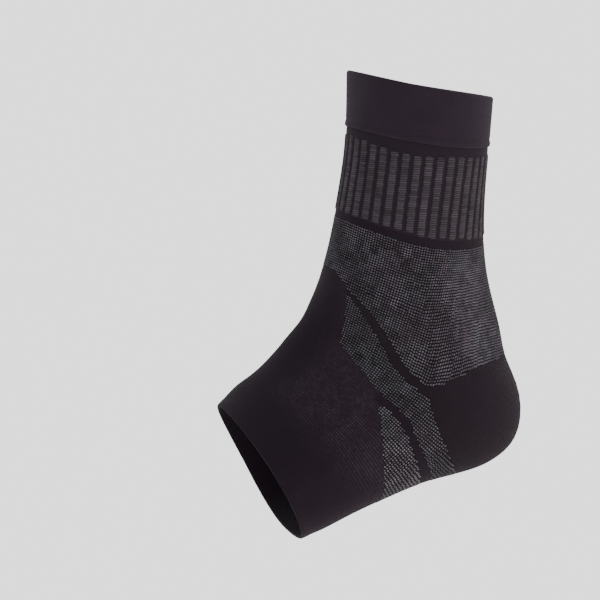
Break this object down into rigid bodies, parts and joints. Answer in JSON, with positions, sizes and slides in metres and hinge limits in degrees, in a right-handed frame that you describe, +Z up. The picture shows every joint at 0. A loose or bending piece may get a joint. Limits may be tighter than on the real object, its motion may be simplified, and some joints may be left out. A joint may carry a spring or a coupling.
{
  "type": "compression ankle sleeve",
  "caption": "Knitted compression sleeve for a left ankle, open at the toes and the leg, with a heel pocket, stirrup strap and arch panel.",
  "frame": {"origin": "centre of the wearer's ankle, inside the sleeve, midway between its two sides", "axes": "+Z up the leg, -X towards the toes, -Y towards the outer side of the foot"},
  "size_m": [0.1587, 0.0869, 0.2374],
  "materials": {
    "cuff_knit": "smooth fine double knit, near black with a violet cast",
    "rib_knit": "raised ribs of grey and black yarn",
    "plain_knit": "plain black knit",
    "mesh_knit": "dotted grey and black knit",
    "strap_knit": "coarser dotted grey and black knit"
  },
  "bodies": {
    "root": {"top_cuff": "cuff_knit", "ribbed_band": "rib_knit", "plain_band": "plain_knit", "ankle_mesh": "mesh_knit", "heel_cup": "plain_knit", "stirrup_strap": "strap_knit", "arch_panel": "strap_knit", "forefoot_panel": "plain_knit"}
  },
  "joints": []
}
